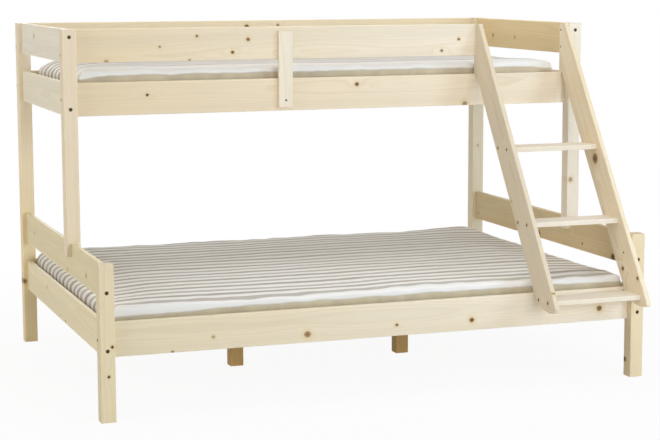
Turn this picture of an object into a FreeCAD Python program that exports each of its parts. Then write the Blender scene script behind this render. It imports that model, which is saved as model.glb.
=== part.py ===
import FreeCAD, Part
import math
import os
from FreeCAD import Vector

# A pine family bunk bed: a wide bed below, a narrow one above it at the back, and a leaning ladder.
# The bed is drawn with its lower front left corner at zero: X along its length, Y to the back, Z up.
# Every size is in millimetres, and the finished pieces are moved so that zero is below the middle.

# Overall sizes
bed_length = 2080.0
bed_width = 1505.0
bed_height = 1318.0
upper_width = 970.0

# Planed timber
post_side = 52.0
board_thick = 18.0
board_high = 122.0
post_round = 3.0
board_round = 2.5

# The lower rails' height off the floor, and the gaps between each rail and the guard above it
lower_rail_low = 220.0
lower_guard_gap = 78.0
upper_guard_gap = 72.0
short_post_over = 3.0

# A side board lies this far inside the inner face of its posts
side_board_cover = 2.0

# The upper front posts straddle the lower end guards
tongue_long = 48.0
tongue_clearance = 0.2

# Furniture bolts with barrel nuts, and the wooden dowels beside them
bolt_radius = 3.0
bolt_head_radius = 7.0
bolt_head_high = 5.0
bolt_sunk = 2.0
bolt_socket_radius = 2.9
bolt_socket_deep = 3.5
bolt_edge = 28.0
bolt_past_nut = 4.0
nut_radius = 5.0
nut_long = 14.0
nut_from_end = 32.0
dowel_radius = 4.0
dowel_long = 36.0
dowel_spread = 33.0
dowel_room = 1.0
hole_clearance = 0.1

# Countersunk wood screws
screw_head_radius = 4.0
screw_radius = 2.0
screw_point = 4.0
screw_recess_deep = 1.6
screw_recess_wide = 1.0
screw_tip_cover = 4.0
end_screw_long = 60.0
slat_screw_long = 28.0
edge_margin = 12.0

# Slats, the ledgers that carry them, and the beam and legs below the lower bed's middle
slat_thick = 15.0
slat_wide = 68.0
slat_count = 14
slat_drop = 38.0
slat_end_gap = 2.0
slat_margin = 4.0
ledger_deep = 25.0
ledger_high = 30.0
ledger_end_gap = 48.0
ledger_screw_count = 6
ledger_screw_margin = 110.0
beam_high = 66.0
leg_count = 2

# Cleat that ties the upper front guard to its rail
cleat_from_left = 822.0
cleat_wide = 54.0
cleat_above_rail_low = 14.0
cleat_below_guard_top = 17.0

# Ladder
ladder_width = 391.0
stile_wide = 129.0
stile_end_back_drop = 16.0
stile_end_low_drop = 54.0
stile_end_front_drop = 42.0
stile_end_low_share = 0.55
stile_toe_round = 12.0
stile_round = 4.0
tread_count = 3
tread_setback = 32.0
tread_back_gap = 14.3
lowest_tread_drop = 10.0
tread_screw_margin = 17.0
post_screw_above_rail = 69.0
post_screw_spacing = 62.0
post_screw_from_front = 35.0

# Mattresses
mattress_thick = 84.0
mattress_seat_gap = 0.3
mattress_crown = 7.0
mattress_draw = 6.0
mattress_tuck = 9.0
mattress_end_tuck = 30.0
mattress_corner = 50.0
lower_mattress_left_gap = 7.0
lower_mattress_right_gap = 22.0
lower_mattress_front_gap = 14.0
lower_mattress_back_gap = 36.0
upper_mattress_left_gap = 31.0
upper_mattress_right_gap = 60.0
upper_mattress_front_gap = 9.0
upper_mattress_back_gap = 8.0

# A mattress side's height and how far it is tucked in there, from the bottom edge to the top edge
mattress_side_shares = ((0.0, 1.0), (0.15, 0.35), (0.5, 0.0), (0.85, 0.35), (1.0, 1.0))
# The way in from a mattress's edge to its middle, and how much of the crown is reached there
mattress_crown_shares = ((0.12, 0.45), (0.35, 0.85), (0.75, 1.0))

cut_overrun = 1.0
parallel_tolerance = 0.001

# Levels and places worked out from the sizes above
end_inset = (post_side - board_thick) / 2
end_board_middle = post_side / 2
side_inset = post_side - board_thick - side_board_cover
side_board_middle = side_inset + board_thick / 2
lower_rail_top = lower_rail_low + board_high
lower_guard_low = lower_rail_top + lower_guard_gap
lower_guard_top = lower_guard_low + board_high
short_post_top = lower_guard_top + short_post_over
upper_guard_low = bed_height - board_high
upper_rail_top = upper_guard_low - upper_guard_gap
upper_rail_low = upper_rail_top - board_high
upper_front = bed_width - upper_width
back_front = bed_width - post_side
inner_left = end_inset + board_thick
inner_right = bed_length - inner_left
lower_slat_low = lower_rail_top - slat_drop - slat_thick
upper_slat_low = upper_rail_top - slat_drop - slat_thick
ladder_right = bed_length - post_side
ladder_left = ladder_right - ladder_width
board_screw_long = board_thick * 2 - screw_tip_cover
ledger_screw_long = ledger_deep + board_thick - screw_tip_cover

x_axis = Vector(1, 0, 0)
y_axis = Vector(0, 1, 0)
z_axis = Vector(0, 0, 1)

nodes = {}
holes = {}


def add(name, solid):
    nodes.setdefault(name, []).append(solid)


def bore(names, cutter):
    for name in names:
        holes.setdefault(name, []).append(cutter)


def box(x_span, y_span, z_span):
    """A block between the two values of each span, in either order."""
    low = Vector(min(x_span), min(y_span), min(z_span))
    size = Vector(max(x_span), max(y_span), max(z_span)) - low
    return Part.makeBox(size.x, size.y, size.z, low)


def rod(start, direction, radius, length):
    return Part.makeCylinder(radius, length, start, direction)


def turned(shape, at, direction):
    """A copy of a piece drawn up the Z axis, set at a point and turned to a direction."""
    copy = shape.copy()
    copy.Placement = FreeCAD.Placement(at, FreeCAD.Rotation(z_axis, direction))
    return copy


def edges_along(solid, axis):
    found = []
    for edge in solid.Edges:
        run = edge.Vertexes[-1].Point - edge.Vertexes[0].Point
        if run.Length > 0 and run.cross(axis).Length / run.Length < parallel_tolerance:
            found.append(edge)
    return found


def timber(x_span, y_span, z_span, grain, radius):
    """A planed length of timber with its long edges eased."""
    solid = box(x_span, y_span, z_span)
    return solid.makeFillet(radius, edges_along(solid, grain))


def mirrored(side, x):
    """A distance from the left end, or the same distance from the right end."""
    return x if side == "left" else bed_length - x


def inward(side):
    return x_axis if side == "left" else -x_axis


def side_board_span(post_front):
    face = post_front + side_inset
    return (face, face + board_thick)


def end_board_span(side):
    return (mirrored(side, end_inset), mirrored(side, inner_left))


def spread(first, last, count):
    step = (last - first) / (count - 1)
    return [first + step * index for index in range(count)]


def bolt_shape(length):
    """A flat headed furniture bolt with a hexagon socket, head first along Z."""
    head = rod(Vector(), z_axis, bolt_head_radius, bolt_head_high)
    shank = rod(z_axis * bolt_head_high, z_axis, bolt_radius, length)
    corners = [Vector(bolt_socket_radius, 0, 0)]
    for corner in range(1, 7):
        turn = FreeCAD.Rotation(z_axis, 60 * corner)
        corners.append(turn.multVec(corners[0]))
    socket = Part.Face(Part.makePolygon(corners)).extrude(z_axis * bolt_socket_deep)
    return head.fuse(shank).removeSplitter().cut(socket)


def screw_shape(length):
    """A countersunk screw with a cross recess, head first along Z."""
    head_deep = screw_head_radius - screw_radius
    head = Part.makeCone(screw_head_radius, screw_radius, head_deep)
    shank_end = length - screw_point
    shank = rod(z_axis * head_deep, z_axis, screw_radius, shank_end - head_deep)
    point = Part.makeCone(screw_radius, screw_radius / 4, screw_point, z_axis * shank_end)
    screw = head.fuse([shank, point]).removeSplitter()
    half_long = screw_head_radius / 2
    half_wide = screw_recess_wide / 2
    deep = (0, screw_recess_deep)
    arm = box((-half_long, half_long), (-half_wide, half_wide), deep)
    other = box((-half_wide, half_wide), (-half_long, half_long), deep)
    return screw.cut(arm.fuse(other))


def screw_room(length):
    """The countersink and pilot hole that a screw sits in."""
    head_deep = screw_head_radius - screw_radius
    head = Part.makeCone(screw_head_radius, screw_radius, head_deep)
    return head.fuse(rod(Vector(), z_axis, screw_radius + hole_clearance, length + dowel_room))


def screw(group, length, at, into, through):
    """A screw with its head flush at a point, driven into the pieces named."""
    add(group, turned(screw_shape(length), at, into))
    bore(through, turned(screw_room(length), at, into))


def bolt_joint(group, post, board, entry, into, open_side):
    """A bolt through a post into a barrel nut, which is put in from the board's open side."""
    recess = bolt_head_high + bolt_sunk
    reach = nut_from_end + nut_radius + bolt_past_nut
    add(group, turned(bolt_shape(post_side - recess + reach), entry + into * bolt_sunk, into))
    hole_radius = bolt_radius + hole_clearance
    run = rod(entry, into, hole_radius, post_side + reach + dowel_room)
    bore([post, board], run)
    bore([post], rod(entry, into, bolt_head_radius + hole_clearance, recess))
    middle = entry + into * (post_side + nut_from_end)
    nut_start = middle + open_side * (nut_long / 2)
    add("barrel_nuts", rod(nut_start, -open_side, nut_radius, nut_long).cut(run))
    face = middle + open_side * (board_thick / 2)
    bore([board], rod(face, -open_side, nut_radius + hole_clearance, (board_thick + nut_long) / 2))


def dowel_joint(post, board, meeting, into):
    """A dowel half in a post and half in the board that meets it."""
    add("dowels", rod(meeting - into * (dowel_long / 2), into, dowel_radius, dowel_long))
    room = dowel_long / 2 + dowel_room
    hole = rod(meeting - into * room, into, dowel_radius + hole_clearance, room * 2)
    bore([post, board], hole)


def join_end_board(post, board, side, post_face, into, bolt_level, dowel_level):
    """An end board meets a post along Y, with one bolt and one dowel."""
    x = mirrored(side, end_board_middle)
    entry = Vector(x, post_face, bolt_level)
    bolt_joint("end_board_bolts", post, board, entry, into, inward(side))
    dowel_joint(post, board, Vector(x, post_face, dowel_level) + into * post_side, into)


def join_side_board(post, board, side, post_front, open_side, bolt_level, dowel_levels):
    """A side board meets a post along X, with one bolt and its dowels."""
    into = inward(side)
    y = post_front + side_board_middle
    entry = Vector(mirrored(side, 0), y, bolt_level)
    bolt_joint("side_board_bolts", post, board, entry, into, open_side)
    for level in dowel_levels:
        dowel_joint(post, board, Vector(mirrored(side, post_side), y, level), into)


def rail_dowels(rail_low):
    middle = rail_low + board_high / 2
    return (middle - dowel_spread, middle + dowel_spread)


def build_posts():
    for side in ("left", "right"):
        x_span = (mirrored(side, 0), mirrored(side, post_side))
        tall = timber(x_span, (back_front, bed_width), (0, bed_height), z_axis, post_round)
        add("post_back_" + side, tall)
        short = timber(x_span, (0, post_side), (0, short_post_top), z_axis, post_round)
        add("post_front_" + side, short)

        low = lower_guard_top - tongue_long
        y_span = (upper_front, upper_front + post_side)
        upper = timber(x_span, y_span, (low, bed_height), z_axis, post_round)
        slot_left = mirrored(side, end_inset - tongue_clearance)
        slot_right = mirrored(side, inner_left + tongue_clearance)
        slot_y = (upper_front - cut_overrun, upper_front + post_side + cut_overrun)
        slot = box((slot_left, slot_right), slot_y, (low - cut_overrun, lower_guard_top))
        add("upper_post_" + side, upper.cut(slot))


def build_end_boards():
    lower_y = (post_side, back_front)
    upper_y = (upper_front + post_side, back_front)
    for side in ("left", "right"):
        x_span = end_board_span(side)
        rows = (
            ("lower_rail_", lower_y, lower_rail_low),
            ("lower_guard_", lower_y, lower_guard_low),
            ("upper_rail_", upper_y, upper_rail_low),
            ("upper_guard_", upper_y, upper_guard_low),
        )
        for name, y_span, low in rows:
            board = timber(x_span, y_span, (low, low + board_high), y_axis, board_round)
            add(name + side, board)

            at_top = name == "upper_guard_"
            bolt_level = low + board_high - bolt_edge if at_top else low + bolt_edge
            dowel_level = low + board_high / 2 if at_top else low + board_high - bolt_edge
            front_post = "post_front_" if y_span is lower_y else "upper_post_"
            front_face = 0 if y_span is lower_y else upper_front
            join_end_board(front_post + side, name + side, side, front_face, y_axis,
                           bolt_level, dowel_level)
            join_end_board("post_back_" + side, name + side, side, bed_width, -y_axis,
                           bolt_level, dowel_level)


def build_side_boards():
    full = (post_side, bed_length - post_side)
    boards = (
        ("lower_rail_front", full, 0, lower_rail_low, "post_front_", y_axis),
        ("lower_rail_back", full, back_front, lower_rail_low, "post_back_", -y_axis),
        ("upper_rail_front", full, upper_front, upper_rail_low, "upper_post_", y_axis),
        ("upper_rail_back", full, back_front, upper_rail_low, "post_back_", -y_axis),
    )
    for name, x_span, post_front, low, post, open_side in boards:
        z_span = (low, low + board_high)
        add(name, timber(x_span, side_board_span(post_front), z_span, x_axis, board_round))
        for side in ("left", "right"):
            join_side_board(post + side, name, side, post_front, open_side,
                            low + board_high / 2, rail_dowels(low))

    z_span = (upper_guard_low, bed_height)
    bolt_level = upper_guard_low + bolt_edge
    dowel_levels = (bed_height - bolt_edge,)
    add("upper_guard_back", timber(full, side_board_span(back_front), z_span, x_axis, board_round))
    for side in ("left", "right"):
        join_side_board("post_back_" + side, "upper_guard_back", side, back_front, -y_axis,
                        bolt_level, dowel_levels)

    short = (post_side, ladder_left)
    add("upper_guard_front", timber(short, side_board_span(upper_front), z_span, x_axis, board_round))
    join_side_board("upper_post_left", "upper_guard_front", "left", upper_front, y_axis,
                    bolt_level, dowel_levels)


def build_tongue_screws():
    """One screw through each upper post's inner tongue into the lower guard it straddles."""
    level = lower_guard_top - tongue_long / 2
    for side in ("left", "right"):
        at = Vector(mirrored(side, post_side), upper_front + post_side / 2, level)
        screw("tongue_screws", board_screw_long, at, -inward(side),
              ["upper_post_" + side, "lower_guard_" + side])


def build_cleat():
    front, back = side_board_span(upper_front)
    x_span = (cleat_from_left, cleat_from_left + cleat_wide)
    z_span = (upper_rail_low + cleat_above_rail_low, bed_height - cleat_below_guard_top)
    add("guard_cleat", timber(x_span, (front - board_thick, front), z_span, z_axis, board_round))

    middle = cleat_from_left + cleat_wide / 2
    face = Vector(middle, front - board_thick, upper_rail_low + bolt_edge + edge_margin)
    screw("cleat_screws", board_screw_long, face, y_axis, ["guard_cleat", "upper_rail_front"])
    rows = (
        ("upper_rail_front", upper_rail_top - bolt_edge),
        ("upper_guard_front", upper_guard_low + bolt_edge),
        ("upper_guard_front", bed_height - bolt_edge - edge_margin),
    )
    for board, level in rows:
        at = Vector(middle, back, level)
        screw("cleat_screws", board_screw_long, at, -y_axis, [board, "guard_cleat"])


def build_ledger(name, rail, face, into_bed, slat_low):
    """A strip along a rail's inner face, screwed to it from inside the bed."""
    x_span = (post_side + ledger_end_gap, bed_length - post_side - ledger_end_gap)
    y_span = (face, face + into_bed.y * ledger_deep)
    z_span = (slat_low - ledger_high, slat_low)
    add(name, timber(x_span, y_span, z_span, x_axis, board_round))
    first = x_span[0] + ledger_screw_margin
    last = x_span[1] - ledger_screw_margin
    for x in spread(first, last, ledger_screw_count):
        at = Vector(x, y_span[1], slat_low - ledger_high / 2)
        screw("ledger_screws", ledger_screw_long, at, -into_bed, [name, rail])


def build_slats(level_name, front_face, back_face, slat_low, carriers):
    """A row of slats across a bed, each screwed down at the places given for its carriers."""
    first = post_side + ledger_end_gap + slat_margin
    y_span = (front_face + slat_end_gap, back_face - slat_end_gap)
    top = slat_low + slat_thick
    for x in spread(first, bed_length - first - slat_wide, slat_count):
        slat = timber((x, x + slat_wide), y_span, (slat_low, top), y_axis, board_round)
        for carrier, y in carriers:
            at = Vector(x + slat_wide / 2, y, top)
            add("slat_screws_" + level_name, turned(screw_shape(slat_screw_long), at, -z_axis))
            room = turned(screw_room(slat_screw_long), at, -z_axis)
            slat = slat.cut(room)
            bore([carrier], room)
        add(level_name + "_slats", slat)


def build_bed_bases():
    lower_front = side_board_span(0)[1]
    upper_front_inner = side_board_span(upper_front)[1]
    back = side_board_span(back_front)[0]
    build_ledger("lower_ledger_front", "lower_rail_front", lower_front, y_axis, lower_slat_low)
    build_ledger("lower_ledger_back", "lower_rail_back", back, -y_axis, lower_slat_low)
    build_ledger("upper_ledger_front", "upper_rail_front", upper_front_inner, y_axis, upper_slat_low)
    build_ledger("upper_ledger_back", "upper_rail_back", back, -y_axis, upper_slat_low)

    beam_middle = (lower_front + back) / 2
    half = ledger_deep / 2
    build_slats("lower", lower_front, back, lower_slat_low, (
        ("lower_ledger_front", lower_front + half),
        ("centre_beam", beam_middle),
        ("lower_ledger_back", back - half),
    ))
    build_slats("upper", upper_front_inner, back, upper_slat_low, (
        ("upper_ledger_front", upper_front_inner + half),
        ("upper_ledger_back", back - half),
    ))
    build_beam(beam_middle)


def build_beam(middle):
    """The board on edge below the lower slats' middle, and the legs screwed to its front face."""
    y_span = (middle - board_thick / 2, middle + board_thick / 2)
    low = lower_slat_low - beam_high
    z_span = (low, lower_slat_low)
    add("centre_beam", timber((inner_left, inner_right), y_span, z_span, x_axis, board_round))
    for side in ("left", "right"):
        at = Vector(mirrored(side, end_inset), middle, low + edge_margin)
        screw("beam_screws", end_screw_long, at, inward(side), ["lower_rail_" + side, "centre_beam"])

    for index in range(leg_count):
        side = "left" if index == 0 else "right"
        leg_middle = bed_length * (index + 1) / (leg_count + 1)
        x_span = (leg_middle - post_side / 2, leg_middle + post_side / 2)
        leg_y = (y_span[0] - post_side, y_span[0])
        add("centre_leg_" + side, timber(x_span, leg_y, (0, lower_slat_low), z_axis, post_round))
        for level in (low + edge_margin, lower_slat_low - edge_margin * 2):
            at = Vector(leg_middle, y_span[1], level)
            screw("leg_screws", board_screw_long, at, -y_axis, ["centre_beam", "centre_leg_" + side])


# The ladder's stiles lean so that their back edges meet both front rails at their top corners
lower_corner = side_board_span(0)[0]
upper_corner = side_board_span(upper_front)[0]
lean = (upper_corner - lower_corner) / (upper_rail_top - lower_rail_top)
stile_run = stile_wide * math.hypot(1, lean)
tread_deep = stile_run - tread_setback - tread_back_gap


def stile_back(level):
    return lower_corner + lean * (level - lower_rail_top)


def stile_front(level):
    return stile_back(level) - stile_run


def stile_toe(x):
    level = lower_rail_top - stile_end_front_drop
    return Vector(x, stile_front(level), level)


def stile_outline(x):
    """A stile seen from the side: plumb against the guard, seated on the upper rail, round at its foot."""
    guard_back = side_board_span(upper_front)[1]
    foot_back = lower_rail_top - stile_end_back_drop
    foot_low = lower_rail_top - stile_end_low_drop
    low_y = stile_back(foot_low) - stile_run * stile_end_low_share
    top_front = Vector(x, stile_front(bed_height), bed_height)
    top_back = Vector(x, guard_back, bed_height)
    seat_back = Vector(x, guard_back, upper_rail_top)
    seat_front = Vector(x, upper_corner, upper_rail_top)
    heel = Vector(x, stile_back(foot_back), foot_back)
    sole = Vector(x, low_y, foot_low)
    toe = stile_toe(x)
    edges = [
        Part.makeLine(top_front, top_back),
        Part.makeLine(top_back, seat_back),
        Part.makeLine(seat_back, seat_front),
        Part.makeLine(seat_front, heel),
        Part.Arc(heel, sole, toe).toShape(),
        Part.makeLine(toe, top_front),
    ]
    return Part.Face(Part.Wire(edges))


def build_stile(side, x):
    solid = stile_outline(x).extrude(x_axis * board_thick)
    toe = Part.Vertex(stile_toe(x))
    toe_edges = [edge for edge in edges_along(solid, x_axis) if edge.distToShape(toe)[0] < parallel_tolerance]
    solid = solid.makeFillet(stile_toe_round, toe_edges)
    slope = Vector(0, lean, 1)
    add("ladder_stile_" + side, solid.makeFillet(stile_round, edges_along(solid, slope)))


def build_treads(inner_span):
    rise = (upper_rail_top - lower_rail_top + lowest_tread_drop) / tread_count
    names = ("low", "middle", "high")
    for index in range(tread_count):
        name = "ladder_tread_" + (names[index] if index < len(names) else str(index))
        top = lower_rail_top - lowest_tread_drop + rise * index
        front = stile_front(top) + tread_setback
        y_span = (front, front + tread_deep)
        add(name, timber(inner_span, y_span, (top - board_thick, top), x_axis, board_round))
        for y in (y_span[0] + tread_screw_margin, y_span[1] - tread_screw_margin):
            level = top - board_thick / 2
            left = Vector(ladder_left, y, level)
            right = Vector(ladder_right, y, level)
            screw("tread_screws", end_screw_long, left, x_axis, ["ladder_stile_left", name])
            screw("tread_screws", end_screw_long, right, -x_axis, ["ladder_stile_right", name])


def build_ladder():
    inner_span = (ladder_left + board_thick, ladder_right - board_thick)
    build_stile("left", ladder_left)
    build_stile("right", inner_span[1])
    build_treads(inner_span)

    guard_y = upper_front + side_board_middle
    for level in (upper_guard_low + bolt_edge, bed_height - bolt_edge):
        left = Vector(inner_span[0], guard_y, level)
        screw("ladder_screws", end_screw_long, left, -x_axis, ["ladder_stile_left", "upper_guard_front"])
        right = Vector(inner_span[1], guard_y, level)
        screw("ladder_screws", board_screw_long, right, x_axis, ["ladder_stile_right", "upper_post_right"])
    for index in range(2):
        level = lower_rail_top + post_screw_above_rail + post_screw_spacing * index
        at = Vector(inner_span[1], post_screw_from_front, level)
        screw("ladder_screws", board_screw_long, at, x_axis, ["ladder_stile_right", "post_front_right"])


def mattress_outline(x_span, y_span, level, in_from_ends, in_from_sides):
    """A level slice of a mattress: round corners, and sides drawn in a little between them."""
    middle = Vector(sum(x_span) / 2, sum(y_span) / 2, level)
    half_long = (x_span[1] - x_span[0]) / 2 - in_from_ends
    half_wide = (y_span[1] - y_span[0]) / 2 - in_from_sides
    straight_long = half_long - mattress_corner
    straight_wide = half_wide - mattress_corner
    on_arc = mattress_corner * math.sqrt(0.5)
    edges = []
    for across, along in ((1, 1), (-1, 1), (-1, -1), (1, -1)):
        side = Vector(across * half_long, along * straight_wide, 0)
        corner = Vector(across * (straight_long + on_arc), along * (straight_wide + on_arc), 0)
        end = Vector(across * straight_long, along * half_wide, 0)
        if across * along > 0:
            start, finish = side, end
            drawn = Vector(0, along * (half_wide - mattress_draw), 0)
            following = Vector(-across * straight_long, along * half_wide, 0)
        else:
            start, finish = end, side
            drawn = Vector(across * (half_long - mattress_draw), 0, 0)
            following = Vector(across * half_long, -along * straight_wide, 0)
        edges.append(Part.Arc(middle + start, middle + corner, middle + finish).toShape())
        edges.append(Part.Arc(middle + finish, middle + drawn, middle + following).toShape())
    return Part.Wire(edges)


def build_mattress(name, x_span, y_span, seat):
    """A pad with sides that bulge between tucked in edges, and a low crown on its top."""
    half_wide = (y_span[1] - y_span[0]) / 2
    low = seat + mattress_seat_gap
    side_high = mattress_thick - mattress_crown
    wires = []
    for up, tucked in mattress_side_shares:
        level = low + side_high * up
        tucks = (mattress_end_tuck * tucked, mattress_tuck * tucked)
        wires.append(mattress_outline(x_span, y_span, level, *tucks))
    for way_in, risen in mattress_crown_shares:
        inset = (half_wide - mattress_corner - mattress_tuck) * way_in
        level = low + side_high + mattress_crown * risen
        wires.append(mattress_outline(x_span, y_span, level, mattress_end_tuck + inset, mattress_tuck + inset))
    add(name, Part.makeLoft(wires, True, True))


def build_mattresses():
    back = side_board_span(back_front)[0]
    lower_front = side_board_span(0)[1]
    upper_inner = side_board_span(upper_front)[1]
    build_mattress("lower_mattress",
                   (inner_left + lower_mattress_left_gap, inner_right - lower_mattress_right_gap),
                   (lower_front + lower_mattress_front_gap, back - lower_mattress_back_gap),
                   lower_slat_low + slat_thick)
    build_mattress("upper_mattress",
                   (inner_left + upper_mattress_left_gap, inner_right - upper_mattress_right_gap),
                   (upper_inner + upper_mattress_front_gap, back - upper_mattress_back_gap),
                   upper_slat_low + slat_thick)


def finished():
    """Each node's solids, bored for their fasteners and moved over the frame's zero."""
    bored = {}
    for name, solids in nodes.items():
        shape = Part.makeCompound(solids)
        if name in holes:
            shape = shape.cut(Part.makeCompound(holes[name]))
        bored[name] = shape
    whole = Part.makeCompound(list(bored.values())).optimalBoundingBox()
    centre = Vector((whole.XMin + whole.XMax) / 2, (whole.YMin + whole.YMax) / 2, whole.ZMin)
    for shape in bored.values():
        shape.translate(-centre)
    return bored, centre


build_posts()
build_end_boards()
build_side_boards()
build_tongue_screws()
build_cleat()
build_bed_bases()
build_ladder()
build_mattresses()

os.makedirs("parts", exist_ok=True)
finished_nodes, frame_centre = finished()
for node_name, node_shape in finished_nodes.items():
    node_shape.exportStep("parts/" + node_name + ".step")
print(len(finished_nodes), "nodes, zero at", tuple(frame_centre), "from the lower front left corner")
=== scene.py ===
import bpy
import bmesh
import math
from mathutils import Matrix, Vector, noise


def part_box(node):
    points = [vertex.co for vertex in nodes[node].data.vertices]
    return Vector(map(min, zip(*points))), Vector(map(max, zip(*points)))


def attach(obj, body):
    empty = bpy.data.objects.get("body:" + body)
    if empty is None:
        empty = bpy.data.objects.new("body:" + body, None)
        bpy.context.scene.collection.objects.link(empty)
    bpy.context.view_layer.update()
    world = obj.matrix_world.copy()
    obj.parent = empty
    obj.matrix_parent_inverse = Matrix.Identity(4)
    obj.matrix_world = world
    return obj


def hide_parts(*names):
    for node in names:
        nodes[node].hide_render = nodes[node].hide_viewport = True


# Bunk bed in pale pine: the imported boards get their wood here, and the mattresses are sewn and stuffed.
# Everything is in metres. X runs along the bed, Y to the back and Z up.

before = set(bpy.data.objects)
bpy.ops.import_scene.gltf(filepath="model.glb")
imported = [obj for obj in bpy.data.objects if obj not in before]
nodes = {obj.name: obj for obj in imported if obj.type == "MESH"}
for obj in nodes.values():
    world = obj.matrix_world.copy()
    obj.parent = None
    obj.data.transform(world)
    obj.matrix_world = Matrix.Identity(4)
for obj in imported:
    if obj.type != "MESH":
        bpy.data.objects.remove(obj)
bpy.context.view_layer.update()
print("frame loaded:", len(nodes), "nodes")


cameraSettings = {
    "place": (-2.2983, -6.4966, 1.5089),
    "turn": 19.713,            # degrees from +Y towards +X
    "tilt": -7.836,            # degrees up from level
    "roll": -0.160,
    "focal": 97.12,
    "sensor": 36.0,
    "farEnd": 60.0,
}


def makeCamera(settings):
    data = bpy.data.cameras.new("photoCamera")
    data.sensor_width = settings["sensor"]
    data.lens = settings["focal"]
    data.clip_end = settings["farEnd"]
    camera = bpy.data.objects.new("photoCamera", data)
    bpy.context.scene.collection.objects.link(camera)
    turn, tilt, roll = (math.radians(settings[key]) for key in ("turn", "tilt", "roll"))
    ahead = Vector((math.sin(turn) * math.cos(tilt), math.cos(turn) * math.cos(tilt), math.sin(tilt)))
    across = Vector((math.cos(turn), -math.sin(turn), 0.0))
    up = across.cross(ahead)
    right = across * math.cos(roll) + up * math.sin(roll)
    above = up * math.cos(roll) - across * math.sin(roll)
    facing = Matrix((right, above, -ahead)).transposed()
    camera.matrix_world = Matrix.Translation(settings["place"]) @ facing.to_4x4()
    bpy.context.scene.camera = camera


makeCamera(cameraSettings)
print("camera set")


# Adds a node, sets its options, then links or sets its sockets by name or number
def put(tree, kind, sockets, **settings):
    node = tree.nodes.new(kind)
    for name, value in settings.items():
        setattr(node, name, value)
    for socket, value in sockets.items():
        if isinstance(value, bpy.types.NodeSocket):
            tree.links.new(value, node.inputs[socket])
        else:
            node.inputs[socket].default_value = value
    return node


def objectSpot(tree):
    return put(tree, "ShaderNodeTexCoord", {}).outputs["Object"]


def parts(tree, vector):
    return put(tree, "ShaderNodeSeparateXYZ", {0: vector}).outputs


def calc(tree, operation, *values, clamp=False):
    node = put(tree, "ShaderNodeMath", dict(enumerate(values)), operation=operation, use_clamp=clamp)
    return node.outputs[0]


def along(tree, operation, *values):
    node = put(tree, "ShaderNodeVectorMath", dict(enumerate(values)), operation=operation)
    return node.outputs["Value" if operation in ("LENGTH", "DOT_PRODUCT") else "Vector"]


def blendColour(tree, amount, first, second, how="MIX"):
    node = put(tree, "ShaderNodeMix", {0: amount, 6: first, 7: second}, data_type="RGBA", blend_type=how)
    return node.outputs[2]


def remap(tree, value, low, high, newLow=0.0, newHigh=1.0, smooth=True):
    kind = "SMOOTHSTEP" if smooth else "LINEAR"
    sockets = {0: value, 1: low, 2: high, 3: newLow, 4: newHigh}
    return put(tree, "ShaderNodeMapRange", sockets, interpolation_type=kind).outputs[0]


def noiseAt(tree, vector, scale, detail=2.0, seed=0.0):
    sockets = {"Vector": vector, "W": seed, "Scale": scale, "Detail": detail}
    return put(tree, "ShaderNodeTexNoise", sockets, noise_dimensions="4D")


# Noise with its own grain size along each axis
def stretched(tree, vector, scale, detail, seed=0.0):
    return noiseAt(tree, along(tree, "MULTIPLY", vector, scale), 1.0, detail, seed)


# Multiplies a colour by a grey that changes over the surface
def shaded(tree, colour, light):
    shade = put(tree, "ShaderNodeCombineXYZ", {0: light, 1: light, 2: light}).outputs[0]
    return blendColour(tree, 1.0, colour, shade, "MULTIPLY")


def newGroup(name, inputs, outputs):
    tree = bpy.data.node_groups.new(name, "ShaderNodeTree")
    kinds = {"value": "NodeSocketFloat", "vector": "NodeSocketVector", "colour": "NodeSocketColor"}
    for title, kind in inputs:
        tree.interface.new_socket(name=title, in_out="INPUT", socket_type=kinds[kind])
    for title, kind in outputs:
        tree.interface.new_socket(name=title, in_out="OUTPUT", socket_type=kinds[kind])
    return tree, tree.nodes.new("NodeGroupInput").outputs, tree.nodes.new("NodeGroupOutput")


def useGroup(tree, group, sockets):
    return put(tree, "ShaderNodeGroup", sockets, node_tree=group).outputs


def newMaterial(name):
    material = bpy.data.materials.new(name)
    material.use_nodes = True
    return material, material.node_tree


pine = {
    "early": (0.855, 0.762, 0.580, 1.0),
    "late": (0.70, 0.545, 0.320, 1.0),
    "warm": (0.82, 0.69, 0.44, 1.0),
    "knot": (0.31, 0.165, 0.052, 1.0),
    "knotHeart": (0.075, 0.033, 0.008, 1.0),
    "brown": (0.60, 0.40, 0.17, 1.0),
    "halo": (0.70, 0.54, 0.27, 1.0),
    "ring": 0.0042,            # metres from one year's ring to the next
    "ringDepth": 0.32,
    "ringWander": 1.6,
    "ringRise": (0.25, 0.88),  # late wood darkens slowly over this part of a ring
    "ringFall": (0.93, 1.0),   # and ends sharply
    "weakYear": 0.35,
    "gloss": 0.32,
    "roughness": (0.52, 0.66),
    "relief": 0.35,
    "reliefDepth": 0.0006,
    "treeDrift": (0.0, 0.05, 0.05),    # how far the pith wanders from the board's line
    "knotPush": 0.006,         # how far a knot bends the rings
    "warmPatch": (0.50, 0.78), # the noise values between which a patch comes up
    "warmShare": 0.42,
    "brownStreak": (0.50, 0.66),
    "brownShare": 0.34,
    "fleck": (0.70, 0.80),
    "fleckShare": 0.35,
    "haloShare": 0.45,
    "streakLight": (0.93, 1.05),
    "fibreLight": 0.045,
    "edgeWidth": (0.0015, 0.0065),
    "edgePaler": 0.06,
    "endDepth": (0.0002, 0.0009),
    "endDarker": 0.13,
    "lateSmoother": 0.10,
    "treeShift": (1.5, 0.06, 0.03),    # between the like pieces of one node
    "pith": (0.01, -0.07),     # across and through, where a board gives no place of its own
}
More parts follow.
